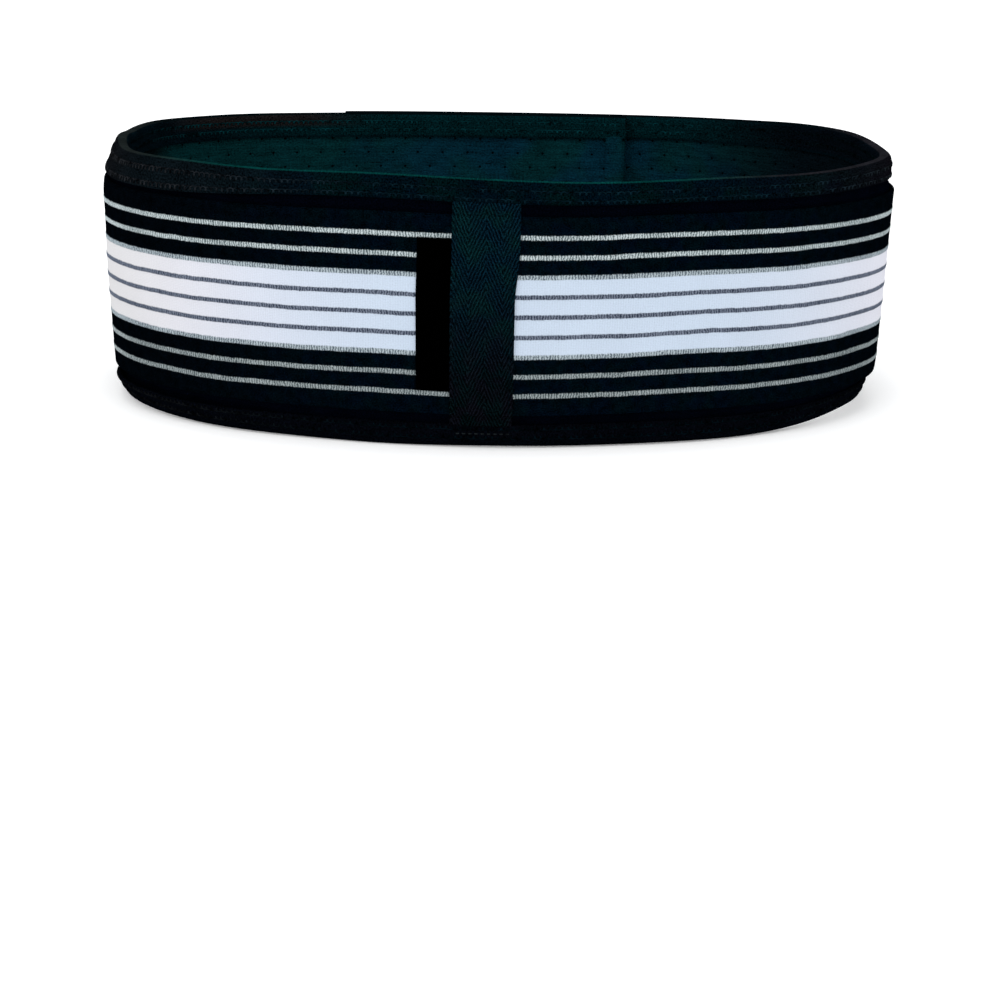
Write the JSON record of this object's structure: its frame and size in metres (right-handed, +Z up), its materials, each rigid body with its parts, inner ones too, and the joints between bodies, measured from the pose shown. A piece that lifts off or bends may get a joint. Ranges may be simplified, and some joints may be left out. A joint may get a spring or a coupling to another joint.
{
  "type": "sacroiliac hip belt",
  "caption": "Lower-back and hip support belt closed into a loop, with striped elastic straps, a bound foam laminate body, a front closure flap and peelable hook tabs.",
  "frame": {"origin": "on the floor plane under the middle of the object's box, the belt standing on its lower edge", "axes": "+Z up; +X to the wearer's right, across the hips; +Y to the wearer's front, where the belt closes, so the taped back faces -Y"},
  "size_m": [0.3222, 0.2276, 0.103],
  "materials": {
    "outer_fabric": "matte brushed knit loop fabric, black with a teal tint",
    "foam": "soft open foam, black",
    "lining": "matte ribbed mesh with small punched holes, black with a teal tint",
    "binding": "matte woven fold-over tape with zigzag stitching, black",
    "striped_elastic": "matte woven elastic, white middle, black sides and grey pick lines",
    "twill_tape": "matte herringbone twill, black",
    "label_cloth": "plain black woven cloth",
    "hook_tape": "moulded hook tape, black"
  },
  "bodies": {
    "belt": {"base_outer_fabric": "outer_fabric", "base_foam_core": "foam", "base_inner_lining": "lining", "base_top_binding": "binding", "base_bottom_binding": "binding", "underlap_end_binding": "binding", "left_tension_strap": "striped_elastic", "right_tension_strap": "striped_elastic", "centre_back_tape": "twill_tape", "side_label": "label_cloth"},
    "closure_flap": {"flap_outer_fabric": "outer_fabric", "flap_foam_core": "foam", "flap_inner_lining": "lining", "flap_top_binding": "binding", "flap_bottom_binding": "binding", "flap_end_binding": "binding", "flap_hook_patch": "hook_tape"},
    "left_tab": {"left_tab_elastic": "striped_elastic", "left_tab_hook_patch": "hook_tape", "left_tab_end_binding": "binding"},
    "right_tab": {"right_tab_elastic": "striped_elastic", "right_tab_hook_patch": "hook_tape", "right_tab_end_binding": "binding"}
  },
  "joints": [
    {"name": "closure_flap_peel", "type": "hinge", "parent": "belt", "child": "closure_flap", "pos_m": [0.07631, 0.10844, 0.0514], "axis": [0, 0, -1], "range_deg": [0, 120]},
    {"name": "left_tab_peel", "type": "hinge", "parent": "belt", "child": "left_tab", "pos_m": [-0.15363, 0.05119, 0.0514], "axis": [0, 0, 1], "range_deg": [0, 135]},
    {"name": "right_tab_peel", "type": "hinge", "parent": "belt", "child": "right_tab", "pos_m": [0.15363, 0.05119, 0.0514], "axis": [0, 0, -1], "range_deg": [0, 135]}
  ]
}
